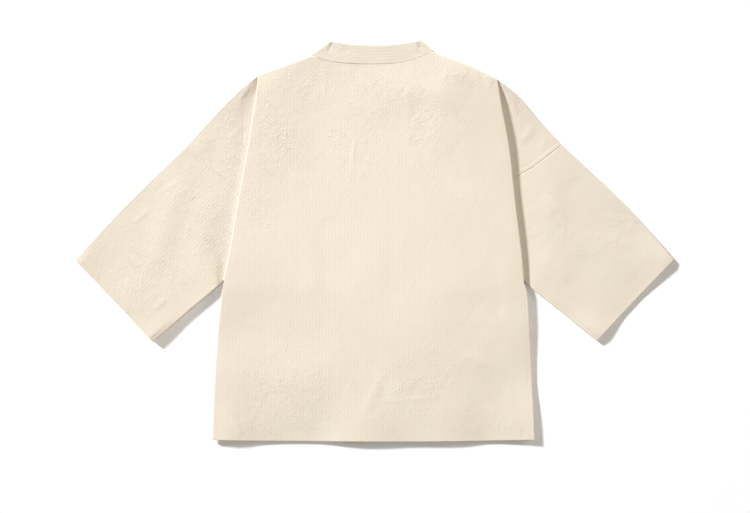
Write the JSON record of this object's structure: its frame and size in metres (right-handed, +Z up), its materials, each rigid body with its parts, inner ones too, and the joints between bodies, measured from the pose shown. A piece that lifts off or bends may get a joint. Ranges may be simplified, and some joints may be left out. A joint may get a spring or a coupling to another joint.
{
  "type": "kimono cardigan",
  "caption": "Open-front kimono cardigan in cream crepe cotton with wide short sleeves, dropped shoulders and a plain neck band, laid flat with its back up",
  "frame": {"origin": "The middle of the garment's outline seen from above, on the surface that it lies on", "axes": "+Z is up, out of the back of the garment. +Y runs from the hem towards the neck. +X runs towards the wearer's right sleeve"},
  "size_m": [1.0772, 0.7214, 0.0138],
  "materials": {
    "crepe_cotton": "matte, finely ribbed and crinkled"
  },
  "bodies": {
    "root": {"back_panel": "crepe_cotton", "front_left": "crepe_cotton", "front_right": "crepe_cotton", "sleeve_left": "crepe_cotton", "sleeve_right": "crepe_cotton", "neck_band": "crepe_cotton"}
  },
  "joints": []
}
